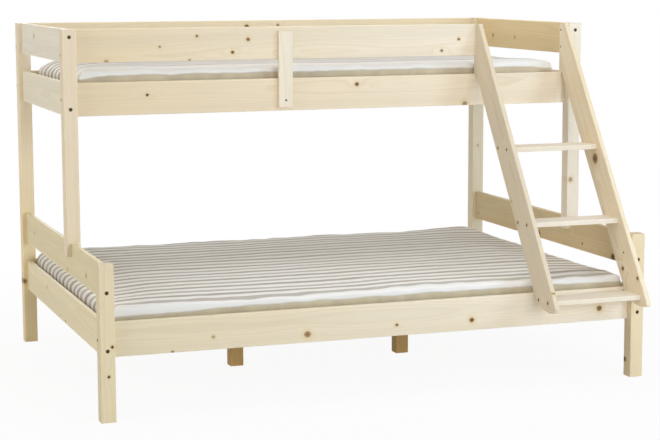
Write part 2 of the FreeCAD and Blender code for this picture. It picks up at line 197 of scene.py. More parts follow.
pineNoise = {                  # noise per metre along, across and through the board
    "drift": (0.8, 3.5, 3.5),
    "ring": (1.5, 22.0, 22.0),
    "fibre": (9.0, 650.0, 650.0),
    "streak": (0.55, 20.0, 20.0),
    "patch": (1.8, 7.0, 7.0),
    "resin": (26.0, 420.0, 420.0),
    "chip": 45.0,              # along each axis alike
    "knot": 130.0,
}


# Growth rings round a pith that lies along X, with fibres, broad streaks and worn edges
def makeGrainGroup():
    tree, given, out = newGroup(
        "pineGrain",
        [("Vector", "vector"), ("Pith", "vector"), ("Half", "vector"), ("Warp", "value"),
         ("Seed", "value"), ("Figure", "value"), ("ToneAndPaintedLight", "colour")],
        [("Color", "colour"), ("Height", "value"), ("Roughness", "value")],
    )
    spot, seed = given["Vector"], given["Seed"]
    slow = stretched(tree, spot, pineNoise["drift"], 2.0, seed)
    drift = along(tree, "MULTIPLY", along(tree, "SUBTRACT", slow.outputs["Color"], (0.5, 0.5, 0.5)),
                  pine["treeDrift"])
    fromPith = along(tree, "ADD", along(tree, "SUBTRACT", spot, given["Pith"]), drift)
    outwards = along(tree, "LENGTH", along(tree, "MULTIPLY", fromPith, (0.0, 1.0, 1.0)))
    warped = calc(tree, "MULTIPLY_ADD", given["Warp"], pine["knotPush"], outwards)
    uneven = stretched(tree, spot, pineNoise["ring"], 3.0, seed).outputs[0]
    count = calc(tree, "ADD", calc(tree, "DIVIDE", warped, pine["ring"]),
                 calc(tree, "MULTIPLY", uneven, pine["ringWander"]))
    part = calc(tree, "FRACT", count)
    rise = remap(tree, part, *pine["ringRise"])
    fall = remap(tree, part, *pine["ringFall"], 1.0, 0.0)
    year = put(tree, "ShaderNodeTexWhiteNoise", {"W": calc(tree, "FLOOR", count)},
               noise_dimensions="1D").outputs["Value"]
    lateWood = calc(tree, "MULTIPLY", calc(tree, "MULTIPLY", rise, fall),
                    remap(tree, year, 0.0, 1.0, pine["weakYear"], 1.0, smooth=False))

    fibre = stretched(tree, spot, pineNoise["fibre"], 3.0, seed).outputs[0]
    streak = stretched(tree, spot, pineNoise["streak"], 2.0, seed).outputs[0]
    patch = stretched(tree, spot, pineNoise["patch"], 2.0, seed).outputs[0]
    resin = stretched(tree, spot, pineNoise["resin"], 1.0, seed).outputs[0]
    fleck = remap(tree, resin, *pine["fleck"])

    depth = calc(tree, "MULTIPLY", given["Figure"], pine["ringDepth"])
    base = blendColour(tree, calc(tree, "MULTIPLY", lateWood, depth), pine["early"], pine["late"])
    warmth = calc(tree, "MULTIPLY", remap(tree, patch, *pine["warmPatch"], 0.0, pine["warmShare"]),
                  given["Figure"])
    base = blendColour(tree, warmth, base, pine["warm"])
    brown = calc(tree, "MULTIPLY", remap(tree, streak, *pine["brownStreak"], 0.0, pine["brownShare"]),
                 calc(tree, "SUBTRACT", given["Figure"], 1.0))
    base = blendColour(tree, brown, base, pine["brown"])
    base = blendColour(tree, calc(tree, "MULTIPLY", fleck, pine["fleckShare"]), base, pine["late"])
    light = calc(tree, "ADD", remap(tree, streak, 0.25, 0.75, *pine["streakLight"], smooth=False),
                 remap(tree, fibre, 0.2, 0.8, -pine["fibreLight"], pine["fibreLight"], smooth=False))

    room = along(tree, "SUBTRACT", given["Half"], along(tree, "ABSOLUTE", spot))
    sides = parts(tree, room)
    corner = calc(tree, "MAXIMUM", sides["Y"], sides["Z"])
    chip = noiseAt(tree, spot, pineNoise["chip"], 3.0, seed).outputs[0]
    edge = calc(tree, "MULTIPLY", remap(tree, corner, *pine["edgeWidth"], 1.0, 0.0),
                remap(tree, chip, 0.35, 0.65))
    endGrain = remap(tree, sides["X"], *pine["endDepth"], 1.0, 0.0)
    light = calc(tree, "ADD", light, calc(tree, "MULTIPLY", edge, pine["edgePaler"]))
    light = calc(tree, "MULTIPLY", light, calc(tree, "MULTIPLY_ADD", endGrain, -pine["endDarker"], 1.0))
    # the tone is partly the board's own shade of pine and partly painted light and shade
    colour = blendColour(tree, 1.0, shaded(tree, base, light), given["ToneAndPaintedLight"], "MULTIPLY")

    height = calc(tree, "ADD", calc(tree, "MULTIPLY", lateWood, 0.55), calc(tree, "MULTIPLY", fibre, 0.6))
    height = calc(tree, "SUBTRACT", height, calc(tree, "MULTIPLY", edge, 0.5))
    rough = calc(tree, "SUBTRACT", remap(tree, fibre, 0.2, 0.8, *pine["roughness"], smooth=False),
                 calc(tree, "MULTIPLY", lateWood, pine["lateSmoother"]), clamp=True)
    tree.links.new(colour, out.inputs["Color"])
    tree.links.new(height, out.inputs["Height"])
    tree.links.new(rough, out.inputs["Roughness"])
    return tree


knots = {
    "ragged": 0.16,            # this and the reaches are shares of the knot's radius
    "edge": (0.82, 1.06),
    "halo": (0.9, 2.6),
    "heart": (0.25, 0.95),
    "palest": 0.4,             # how strong the palest knot is
    "longer": 0.1,             # along the grain
    "bend": 2.2,               # how far out the rings bend, across the grain
    "bendLonger": 5.0,
}


# One knot through a board. Its masks join those of the knots before it
def makeKnotGroup():
    tree, given, out = newGroup(
        "pineKnot",
        [("Vector", "vector"), ("Place", "vector"), ("Reach", "vector"), ("Bend", "vector"),
         ("Dark", "value"), ("Core", "value"), ("Halo", "value"), ("Warp", "value")],
        [("Core", "value"), ("Heart", "value"), ("Halo", "value"), ("Warp", "value")],
    )
    ragged = noiseAt(tree, given["Vector"], pineNoise["knot"], 2.0).outputs[0]
    away = along(tree, "SUBTRACT", given["Vector"], given["Place"])
    far = along(tree, "LENGTH", along(tree, "MULTIPLY", away, given["Reach"]))
    far = calc(tree, "ADD", far, remap(tree, ragged, 0.2, 0.8, -knots["ragged"], knots["ragged"], smooth=False))
    firm = calc(tree, "MULTIPLY_ADD", given["Dark"], 1.0 - knots["palest"], knots["palest"], clamp=True)
    core = calc(tree, "MULTIPLY", remap(tree, far, *knots["edge"], 1.0, 0.0), firm)
    halo = remap(tree, far, *knots["halo"], 1.0, 0.0)
    bend = along(tree, "LENGTH", along(tree, "MULTIPLY", away, given["Bend"]))
    warp = calc(tree, "EXPONENT", calc(tree, "MULTIPLY", calc(tree, "POWER", bend, 2.0), -1.0))
    tree.links.new(calc(tree, "MAXIMUM", core, given["Core"]), out.inputs["Core"])
    tree.links.new(calc(tree, "MAXIMUM", halo, given["Halo"]), out.inputs["Halo"])
    tree.links.new(calc(tree, "ADD", warp, given["Warp"]), out.inputs["Warp"])
    heartStart, heartEnd = (calc(tree, "MULTIPLY", given["Dark"], share) for share in knots["heart"])
    middle = remap(tree, far, heartStart, heartEnd, 1.0, 0.0)
    heart = calc(tree, "MULTIPLY", calc(tree, "MULTIPLY", core, middle), given["Dark"])
    tree.links.new(heart, out.inputs["Heart"])
    return tree


grainGroup = makeGrainGroup()
knotGroup = makeKnotGroup()

# Which way each board axis points: grain first, then width, then thickness
frames = {
    "alongX": ((1, 0, 0), (0, 0, 1), (0, -1, 0)),
    "alongY": ((0, 1, 0), (0, 0, 1), (1, 0, 0)),
    "upright": ((0, 0, 1), (0, 1, 0), (-1, 0, 0)),
    "uprightBoard": ((0, 0, 1), (1, 0, 0), (0, 1, 0)),
    "flatX": ((1, 0, 0), (0, 1, 0), (0, 0, 1)),
    "flatY": ((0, 1, 0), (-1, 0, 0), (0, 0, 1)),
}


# Wood for one piece: rings round its own pith, its own knots, and its own tone, which is partly its own shade
# of pine and partly painted light and shade
def pineMaterial(name, axes, centre, half, look):
    material, tree = newMaterial(name)
    shader = tree.nodes["Principled BSDF"]
    spot = objectSpot(tree)
    turn = Matrix(axes).transposed().to_euler()
    inBoard = put(tree, "ShaderNodeMapping", {"Vector": spot, "Location": centre, "Rotation": turn},
                  vector_type="TEXTURE").outputs[0]
    if "step" in look:         # several like pieces side by side, each from another tree
        index = calc(tree, "FLOOR", calc(tree, "DIVIDE", parts(tree, spot)["X"], look["step"]))
        other = put(tree, "ShaderNodeTexWhiteNoise", {"W": index}, noise_dimensions="1D").outputs["Color"]
        inBoard = along(tree, "ADD", inBoard, along(tree, "MULTIPLY", other, pine["treeShift"]))

    masks = {"Core": 0.0, "Halo": 0.0, "Warp": 0.0}
    hearts = []
    for x, y, z, face, radius, dark in look.get("knots", ()):
        reach, bend = [], []       # one over the knot's size along each axis, and nothing through the board
        for axis, grain in zip("XYZ", axes[0]):
            through = axis == face
            reach.append(0.0 if through else 1.0 / (radius * (1.0 + knots["longer"] * abs(grain))))
            bend.append(0.0 if through else 1.0 / (radius * (knots["bend"] + knots["bendLonger"] * abs(grain))))
        outputs = useGroup(tree, knotGroup, {"Vector": spot, "Place": (x, y, z), "Reach": reach,
                                             "Bend": bend, "Dark": dark, **masks})
        masks = {mask: outputs[mask] for mask in masks}
        hearts.append(outputs["Heart"])

    toneAndPaintedLight = (*look["toneAndPaintedLight"], 1.0)
    if "paintedLightEnd" in look:      # painted light: a board that pales from one end to the other, brighter at the end where more light falls
        share = remap(tree, parts(tree, inBoard)["X"], -half[0], half[0], smooth=False)
        toneAndPaintedLight = blendColour(tree, share, toneAndPaintedLight, (*look["paintedLightEnd"], 1.0))
    wood = useGroup(tree, grainGroup, {
        "Vector": inBoard, "Pith": (0.0, *look.get("pith", pine["pith"])), "Half": half,
        "Warp": masks["Warp"], "Seed": look["seed"], "Figure": look.get("figure", 1.0), "ToneAndPaintedLight": toneAndPaintedLight})
    colour, height = wood["Color"], wood["Height"]
    if hearts:
        halo = calc(tree, "MULTIPLY", masks["Halo"], pine["haloShare"])
        colour = blendColour(tree, halo, colour, pine["halo"])
        colour = blendColour(tree, masks["Core"], colour, pine["knot"])
        for heart in hearts:
            colour = blendColour(tree, heart, colour, pine["knotHeart"])
        height = calc(tree, "ADD", height, masks["Core"])
    bump = put(tree, "ShaderNodeBump", {"Height": height, "Strength": pine["relief"],
                                        "Distance": pine["reliefDepth"]})
    tree.links.new(colour, shader.inputs["Base Color"])
    tree.links.new(wood["Roughness"], shader.inputs["Roughness"])
    tree.links.new(bump.outputs["Normal"], shader.inputs["Normal"])
    shader.inputs["Specular IOR Level"].default_value = pine["gloss"]
    return material


def dress(nodeName, material):
    slots = nodes[nodeName].data.materials
    slots.clear()
    slots.append(material)


# Each board's wood. A knot is its place, the axis its face looks along, its radius and its darkness
# Each tone is partly the board's own shade of pine and partly painted light: warm dark tones are painted shade
# with warm bounce light, and bluer tones on upper boards, treads and the cleat are painted cool light.
boards = {
    "post_front_left": {"axes": "upright", "seed": 1.3, "pith": (0.05, 0.03), "toneAndPaintedLight": (0.94, 0.915, 0.825),
                        "knots": [(-0.998, -0.676, 0.262, "Y", 0.0055, 1.0),
                                  (-1.012, -0.676, 0.16, "Y", 0.0055, 1.0)]},
    "post_front_right": {"axes": "upright", "seed": 2.1, "pith": (-0.05, 0.05), "toneAndPaintedLight": (0.95, 0.89, 0.79),
                         "knots": [(0.988, -0.638, 0.062, "X", 0.010, 0.9)]},
    # This post's warm yellow foot is painted shade under the bed, and its bluer top is painted light.
    "post_back_left": {"axes": "upright", "seed": 3.7, "pith": (0.04, -0.05), "figure": 1.3,
                       "toneAndPaintedLight": (1.06, 0.98, 0.76), "paintedLightEnd": (1.12, 1.13, 1.20),
                       "knots": [(-1.037, 0.777, 0.256, "Y", 0.011, 0.7)]},
    "post_back_right": {"axes": "upright", "seed": 4.9, "pith": (0.06, 0.02), "toneAndPaintedLight": (1, 1, 1),
                        "knots": [(1.012, 0.777, 0.75, "Y", 0.005, 0.08)]},
    "upper_post_left": {"axes": "upright", "seed": 5.2, "pith": (-0.06, 0.04), "toneAndPaintedLight": (1.0, 0.96, 0.945)},
    "upper_post_right": {"axes": "upright", "seed": 6.4, "pith": (0.05, -0.06), "toneAndPaintedLight": (1.07, 1.09, 1.21),
                         "knots": [(1.002, -0.141, 0.694, "Y", 0.009, 0.4)]},
    # The long front boards, this one and the upper rail and guard in front, pale towards their right ends:
    # painted light that falls brighter there.
    "lower_rail_front": {"axes": "alongX", "seed": 7.7, "pith": (0.02, 0.10),
                         "toneAndPaintedLight": (0.905, 0.89, 0.84), "paintedLightEnd": (1.0, 1.01, 1.10),
                         "knots": [(-0.288, -0.644, 0.25, "Y", 0.012, 0.7),
                                   (0.347, -0.644, 0.258, "Y", 0.0095, 0.9),
                                   (0.87, -0.644, 0.267, "Y", 0.0115, 0.8),
                                   (0.052, -0.644, 0.26, "Y", 0.006, 0.9),
                                   (-0.634, -0.644, 0.265, "Y", 0.006, 0.3),
                                   (-0.78, -0.644, 0.223, "Y", 0.005, 0.8)]},
    "lower_rail_back": {"axes": "alongX", "seed": 8.5, "pith": (-0.02, -0.09), "toneAndPaintedLight": (0.98, 0.98, 0.96),
                        "knots": [(0.52, 0.827, 0.29, "Y", 0.010, 0.7),
                                  (-0.41, 0.827, 0.262, "Y", 0.008, 0.8),
                                  (-0.8, 0.827, 0.30, "Y", 0.006, 0.6)]},
    "lower_rail_left": {"axes": "alongY", "seed": 9.1, "pith": (0.03, -0.08), "toneAndPaintedLight": (1.03, 1.02, 0.91),
                        "knots": [(-1.023, -0.003, 0.229, "X", 0.005, 0.7),
                                  (-1.023, 0.35, 0.30, "X", 0.006, 0.25)]},
    "lower_rail_right": {"axes": "alongY", "seed": 10.6, "pith": (-0.03, 0.08), "toneAndPaintedLight": (0.98, 0.98, 0.96),
                         "knots": [(1.023, -0.2, 0.26, "X", 0.009, 0.7),
                                   (1.023, 0.45, 0.30, "X", 0.006, 0.8)]},
    "lower_guard_left": {"axes": "alongY", "seed": 11.3, "pith": (-0.01, -0.11), "toneAndPaintedLight": (0.94, 0.92, 0.78),
                         "knots": [(-1.023, -0.061, 0.433, "X", 0.007, 0.45),
                                   (-1.023, -0.393, 0.464, "X", 0.009, 0.7),
                                   (-1.023, 0.60, 0.48, "X", 0.006, 0.3)]},
    # This guard's warm dark tone is partly painted shade with warm bounce light, in the corner at the bed's
    # right end.
    "lower_guard_right": {"axes": "alongY", "seed": 12.8, "pith": (0.02, 0.10), "figure": 1.5,
                          "toneAndPaintedLight": (0.91, 0.84, 0.68),
                          "knots": [(1.005, 0.137, 0.437, "X", 0.014, 0.95),
                                    (1.005, -0.248, 0.449, "X", 0.006, 0.8),
                                    (1.005, -0.50, 0.432, "X", 0.014, 0.95),
                                    (1.005, -0.10, 0.50, "X", 0.010, 0.12)]},
    "upper_rail_front": {"axes": "alongX", "seed": 13.4, "pith": (0.03, 0.09),
                         "toneAndPaintedLight": (0.92, 0.86, 0.79), "paintedLightEnd": (1.06, 1.05, 1.12),
                         "knots": [(-0.722, -0.109, 1.074, "Y", 0.006, 1.0),
                                   (0.10, -0.109, 1.095, "Y", 0.008, 0.95),
                                   (0.551, -0.109, 1.008, "Y", 0.010, 0.5)]},
    "upper_rail_back": {"axes": "alongX", "seed": 14.2, "pith": (-0.02, -0.10), "toneAndPaintedLight": (0.98, 0.98, 0.96),
                        "knots": [(0.30, 0.827, 1.05, "Y", 0.009, 0.8),
                                  (-0.66, 0.827, 1.08, "Y", 0.007, 0.7)]},
    "upper_rail_left": {"axes": "alongY", "seed": 15.9, "pith": (0.0, -0.09), "toneAndPaintedLight": (1.06, 1.09, 1.15),
                        "knots": [(-1.023, 0.22, 1.06, "X", 0.004, 0.3)]},
    "upper_rail_right": {"axes": "alongY", "seed": 16.1, "pith": (0.01, 0.10), "toneAndPaintedLight": (1.07, 1.06, 1.15),
                         "knots": [(1.005, 0.50, 1.08, "X", 0.005, 0.3)]},
    "upper_guard_front": {"axes": "alongX", "seed": 17.5, "pith": (-0.03, 0.08),
                          "toneAndPaintedLight": (0.93, 0.88, 0.825), "paintedLightEnd": (1.03, 1.045, 1.13),
                          "knots": [(-0.531, -0.109, 1.287, "Y", 0.0055, 0.75),
                                    (-0.333, -0.109, 1.272, "Y", 0.0075, 0.85),
                                    (-0.394, -0.109, 1.225, "Y", 0.0065, 0.95),
                                    (-0.673, -0.109, 1.25, "Y", 0.005, 0.5),
                                    (-0.873, -0.109, 1.198, "Y", 0.008, 0.3),
                                    (-0.56, -0.109, 1.199, "Y", 0.005, 0.5),
                                    (0.524, -0.109, 1.26, "Y", 0.0055, 0.8),
                                    (0.452, -0.109, 1.217, "Y", 0.0055, 0.8)]},
    "upper_guard_back": {"axes": "alongX", "seed": 18.3, "pith": (0.02, -0.08), "toneAndPaintedLight": (1.07, 1.03, 0.97),
                         "knots": [(-0.507, 0.809, 1.282, "Y", 0.0055, 0.8),
                                   (-0.056, 0.809, 1.292, "Y", 0.010, 0.9),
                                   (0.083, 0.809, 1.297, "Y", 0.006, 0.7)]},
    "upper_guard_left": {"axes": "alongY", "seed": 19.7, "pith": (-0.02, -0.10), "toneAndPaintedLight": (1.07, 1.12, 1.25),
                         "knots": [(-1.023, 0.50, 1.275, "X", 0.009, 0.5)]},
    # This guard's warm tone is partly painted shade with warm bounce light on its inner face.
    "upper_guard_right": {"axes": "alongY", "seed": 20.9, "pith": (0.03, 0.09), "figure": 1.5,
                          "toneAndPaintedLight": (1.03, 0.93, 0.72),
                          "knots": [(1.005, 0.608, 1.247, "X", 0.008, 0.6),
                                    (1.005, 0.392, 1.245, "X", 0.006, 0.45)]},
    "guard_cleat": {"axes": "uprightBoard", "seed": 21.6, "pith": (0.01, 0.09), "toneAndPaintedLight": (1.04, 1.055, 1.15)},
    "ladder_tread_low": {"axes": "flatX", "seed": 22.2, "pith": (0.02, -0.08), "toneAndPaintedLight": (1.02, 1.04, 1.15)},
    "ladder_tread_middle": {"axes": "flatX", "seed": 23.8, "pith": (-0.02, -0.09),
                            "toneAndPaintedLight": (1.02, 1.04, 1.18)},
    "ladder_tread_high": {"axes": "flatX", "seed": 24.5, "pith": (0.01, 0.09), "toneAndPaintedLight": (1.02, 1.04, 1.15)},
    "lower_ledger_front": {"axes": "alongX", "seed": 25.1, "toneAndPaintedLight": (0.96, 0.93, 0.85)},
    "lower_ledger_back": {"axes": "alongX", "seed": 26.4, "toneAndPaintedLight": (0.96, 0.93, 0.85)},
    "upper_ledger_front": {"axes": "alongX", "seed": 27.9, "toneAndPaintedLight": (0.96, 0.93, 0.85)},
    "upper_ledger_back": {"axes": "alongX", "seed": 28.3, "toneAndPaintedLight": (0.96, 0.93, 0.85)},
    "centre_beam": {"axes": "alongX", "seed": 29.7, "pith": (0.02, -0.08), "toneAndPaintedLight": (0.96, 0.92, 0.82),
                    "knots": [(0.2, 0.083, 0.255, "Y", 0.009, 0.7),
                              (-0.6, 0.083, 0.25, "Y", 0.007, 0.8)]},
    # The centre legs' dark amber tone is painted shade under the bed, with warm bounce light from the boards
    # round them.
    "centre_leg_left": {"axes": "upright", "seed": 30.2, "pith": (0.05, 0.04), "toneAndPaintedLight": (0.88, 0.66, 0.33)},
    "centre_leg_right": {"axes": "upright", "seed": 31.8, "pith": (-0.05, 0.05), "toneAndPaintedLight": (0.88, 0.66, 0.33)},
    "lower_slats": {"axes": "flatY", "seed": 32.6, "toneAndPaintedLight": (0.97, 0.95, 0.9), "step": 0.139},
    "upper_slats": {"axes": "flatY", "seed": 33.3, "toneAndPaintedLight": (0.97, 0.95, 0.9), "step": 0.139},
}

noEdge = 9.0                   # a half size so large that no edge or end is drawn

for nodeName, look in boards.items():
    low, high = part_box(nodeName)
    centre = (low + high) / 2
    size = high - low
    axes = frames[look["axes"]]
    half = [sum(abs(direction[i]) * size[i] for i in range(3)) / 2 for direction in axes]
    if "step" in look:
        half[1] = noEdge       # the slats of one node share a box, so their long edges stay plain
    dress(nodeName, pineMaterial(nodeName + "Pine", axes, centre, half, look))
print("boards dressed:", len(boards))

# The ladder's stiles lean, so their grain does too
# The stiles' tones too are partly their own pine and partly painted light.
stileSettings = {
    "ladder_stile_left": {"seed": 41.7, "pith": (0.02, -0.09), "toneAndPaintedLight": (0.93, 0.92, 0.94), "figure": 1.4,
                          "knots": [(0.593, -0.793, 0.366, "X", 0.006, 0.5),
                                    (0.593, -0.45, 0.66, "X", 0.005, 0.25)]},
    "ladder_stile_right": {"seed": 43.1, "pith": (-0.02, 0.10), "toneAndPaintedLight": (1.10, 1.08, 1.08), "figure": 2.2,
                           "knots": [(0.97, -0.408, 0.805, "X", 0.020, 0.8),
                                     (0.97, -0.641, 0.411, "X", 0.008, 0.95),
                                     (0.97, -0.752, 0.391, "X", 0.007, 0.9)]},
}
stileLean = 0.684              # metres back for each metre up
stileHalfWidth = 0.0645
stileHalfThick = 0.009
stileToe = 0.012               # from the lowest point up to the foremost one
screwHoleShade = ((-0.762, 0.323), (-0.686, 0.323), (-0.581, 0.587),
                (-0.505, 0.587), (-0.400, 0.851), (-0.324, 0.851))
for y, z in screwHoleShade:      # painted shade in the countersunk holes, darkening the wood round the tread screws' heads in the left stile
    stileSettings["ladder_stile_left"]["knots"].append((0.597, y, z, "X", 0.006, 0.8))

for nodeName, look in stileSettings.items():
    low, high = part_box(nodeName)
    rise = Vector((0.0, stileLean, 1.0)).normalized()
    thick = Vector((1.0, 0.0, 0.0))
    axes = (tuple(rise), tuple(thick.cross(rise)), tuple(thick))
    frontFoot = Vector(((low.x + high.x) / 2, low.y, low.z + stileToe))
    middle = frontFoot - Vector(axes[1]) * stileHalfWidth
    half = (noEdge, stileHalfWidth, stileHalfThick)
    dress(nodeName, pineMaterial(nodeName + "Pine", axes, middle, half, look))
print("ladder dressed")


metals = {
    "boltSteel": {"colour": (0.095, 0.066, 0.028, 1.0), "stain": (0.045, 0.030, 0.014, 1.0), "rough": 0.50},
    "nutZinc": {"colour": (0.42, 0.40, 0.36, 1.0), "stain": (0.30, 0.27, 0.22, 1.0), "rough": 0.40},
    "screwZinc": {"colour": (0.075, 0.048, 0.020, 1.0), "stain": (0.030, 0.019, 0.009, 1.0), "rough": 0.52},
}
metalFinish = {
    "blotches": 420.0,         # noise per metre
    "turning": (2400.0, 2400.0, 600.0),
    "shine": 0.6,
    "relief": 0.2,
    "reliefDepth": 0.0002,
}


# Plated steel with a blotchy finish and fine turning marks
def metalMaterial(name, metal):
    material, tree = newMaterial(name)
    shader = tree.nodes["Principled BSDF"]
    spot = objectSpot(tree)
    blotch = noiseAt(tree, spot, metalFinish["blotches"], 3.0).outputs[0]
    fine = stretched(tree, spot, metalFinish["turning"], 2.0).outputs[0]
    tint = blendColour(tree, remap(tree, blotch, 0.35, 0.7), metal["colour"], metal["stain"])
    rough = remap(tree, blotch, 0.2, 0.8, metal["rough"] - 0.08, metal["rough"] + 0.12)
    bump = put(tree, "ShaderNodeBump", {"Height": fine, "Strength": metalFinish["relief"],
                                        "Distance": metalFinish["reliefDepth"]})
    tree.links.new(tint, shader.inputs["Base Color"])
    tree.links.new(rough, shader.inputs["Roughness"])
    tree.links.new(bump.outputs["Normal"], shader.inputs["Normal"])
    shader.inputs["Metallic"].default_value = metalFinish["shine"]
    return material


metalOf = {"end_board_bolts": "boltSteel", "side_board_bolts": "boltSteel", "barrel_nuts": "nutZinc"}
for kind in ("tongue", "cleat", "ledger", "beam", "leg", "tread", "ladder"):
    metalOf[kind + "_screws"] = "screwZinc"
for level in ("lower", "upper"):
    metalOf["slat_screws_" + level] = "screwZinc"

madeMetals = {name: metalMaterial(name, metal) for name, metal in metals.items()}
for nodeName, metal in metalOf.items():
    dress(nodeName, madeMetals[metal])
dowelLook = {"seed": 51.0, "toneAndPaintedLight": (0.95, 0.90, 0.80), "step": 0.05}
dress("dowels", pineMaterial("dowelBeech", frames["alongX"], (0.0, 0.0, 0.0), [noEdge] * 3, dowelLook))
print("fasteners dressed")


ticking = {
    "white": (0.925, 0.912, 0.888, 1.0),
    "stripe": (0.465, 0.41, 0.355, 1.0),
    "seam": (0.30, 0.24, 0.15, 1.0),
    "repeat": 0.0685,          # metres from one stripe to the next
    "stripeShare": 0.45,
    "softEdge": 0.06,
    "otherWeaker": 0.22,
    "sway": 0.040,             # how far a stripe strays over a long way, and over a short one
    "swayNoise": (1.7, 3.0, 1.0),
    "ripple": 0.006,
    "rippleNoise": (9.0, 9.0, 1.5),
    "thread": 5200.0,
    "slubNoise": (60.0, 900.0, 900.0),
}


# Lengthwise taupe stripes woven in a thick white cotton, every other one a little weaker
def makeTickingGroup():
    tree, given, out = newGroup(
        "tickingStripes",
        [("Vector", "vector"), ("Seed", "value"), ("Start", "value")],
        [("Color", "colour"), ("Height", "value")],
    )
    spot, seed = given["Vector"], given["Seed"]
    place = parts(tree, spot)["Y"]
    for stray in ("sway", "ripple"):
        wander = stretched(tree, spot, ticking[stray + "Noise"], 2.0, seed).outputs[0]
        off = remap(tree, wander, 0.0, 1.0, -ticking[stray], ticking[stray], smooth=False)
        place = calc(tree, "ADD", place, off)
    turns = calc(tree, "DIVIDE", calc(tree, "SUBTRACT", place, given["Start"]), ticking["repeat"])
    part = calc(tree, "FRACT", turns)
    share, soft = ticking["stripeShare"], ticking["softEdge"]
    stripe = calc(tree, "MULTIPLY", remap(tree, part, 0.0, soft),
                  remap(tree, part, share, share + soft, 1.0, 0.0))
    other = calc(tree, "FLOORED_MODULO", calc(tree, "FLOOR", turns), 2.0)
    strength = calc(tree, "MULTIPLY_ADD", other, -ticking["otherWeaker"], 1.0)
    colour = blendColour(tree, calc(tree, "MULTIPLY", stripe, strength), ticking["white"], ticking["stripe"])

    weave = along(tree, "SINE", along(tree, "MULTIPLY", spot, [ticking["thread"]] * 3))
    over = parts(tree, weave)
    knit = calc(tree, "ADD", calc(tree, "MULTIPLY", over["X"], over["Y"]), over["Z"])
    slub = stretched(tree, spot, ticking["slubNoise"], 2.0, seed).outputs[0]
    colour = shaded(tree, colour, remap(tree, slub, 0.2, 0.8, 0.955, 1.03, smooth=False))
    height = calc(tree, "ADD", calc(tree, "MULTIPLY", knit, 0.3), slub)
    tree.links.new(colour, out.inputs["Color"])
    tree.links.new(height, out.inputs["Height"])
    return tree


tickingGroup = makeTickingGroup()

mattresses = {
    "lower_mattress": {
        "piece": "lower_mattress_cover",
        "seed": 3.0,
        "firstStripe": -0.663,     # how far to the front the stripes begin
        "margin": 0.008,           # plain cloth along the long edges
        "plain": (0.84, 0.83, 0.815, 1.0),
        "border": (0.61, 0.535, 0.385, 1.0),
        "seam": 0.3620,            # its height above the floor
        "seamDrop": (0.011, 0.004),    # at the left and the right end
        "seamRun": 0.60,           # metres that the left end's drop takes
        "wave": 0.004,
        "voxel": 0.017,
        "endFill": 0.8,            # how far the ends are squared
        "cornerFill": (0.7, 0.45),     # and the corners, in front and at the back
        "endRound": ((0.085, 0.042), (0.035, 0.025)),  # how far in and down each end's top is rounded
        "backDrop": 0.004,         # how much lower the far corner at the left lies
    },
    "upper_mattress": {
        "piece": "upper_mattress_cover",
        "seed": 8.0,
        "firstStripe": -0.111,
        "margin": 0.075,
        "plain": (0.90, 0.89, 0.875, 1.0),
        "border": (0.62, 0.54, 0.40, 1.0),
        "seam": 1.1465,
        "seamDrop": (0.015, 0.006),
        "seamRun": 0.12,
        "wave": 0.006,
        "voxel": 0.015,
        "endFill": 0.6,
        "cornerFill": (0.8, 0.0),
        "endRound": ((0.09, 0.05), (0.05, 0.035)),
        "backDrop": 0.015,
    },
}
padding = {
    "shrink": 0.004,           # the pad starts this much inside its space
    "pressure": 4.0,
    "frames": 20,
    "stiffness": 12.0,
    "bending": 0.4,
    "weight": 0.25,
    "slack": 0.012,            # the cloth is this share larger than the pad
    "cap": 0.010,              # as far as the stuffing moves any point
    "room": 0.003,             # the stuffed pad may swell this far past its space
    "lip": 0.0025,             # the striped cover stands this proud of the border
    "seat": 0.003,             # the underside is laid flat up to here
    "sidePush": 0.014,         # the long sides are pushed out this far, to fill their space
    "edgeLift": 0.007,
    "waves": 2.6,              # per metre, on the top
    "puckers": 13.0,
    "puckerReach": 0.12,       # from the edges inwards
    "pucker": 1.8,             # their height, as a share of the waves
    "lipWaver": 0.6,
}
bands = {                      # metres in from an edge, where a change begins and where it is whole
    "side": (0.10, 0.03),
    "end": (0.14, 0.05),
    "lift": (0.20, 0.05),
    "border": (0.045, 0.02),
    "top": 0.015,
    "far": 0.22,
    "front": 0.3,
    "seam": (-0.005, 0.007),   # below and above the seam
    "frontSquarer": (0.5, 0.35),   # of the round end's reach and drop
}
cloths = {
    "marginBlur": 0.003,
    "seamWaver": 0.005,
    "rightRun": (0.17, 0.02),  # where the seam's drop at the right end begins and ends, from that end
    "sideReach": (0.045, 0.042),   # how far in from the long sides the border and its seam go
    "borderBlur": 0.0025,
    "creaseNoise": (18.0, 1.0, 5.0),
    "creaseShade": (0.88, 1.07),
    "stitch": (0.001, 0.0035),
    "stitchShare": 0.35,
    "stitchDepth": 3.0,
    "relief": 0.3,
    "reliefDepth": 0.0006,
    "roughness": 0.86,
    "gloss": 0.2,
    "sheen": 0.12,
}


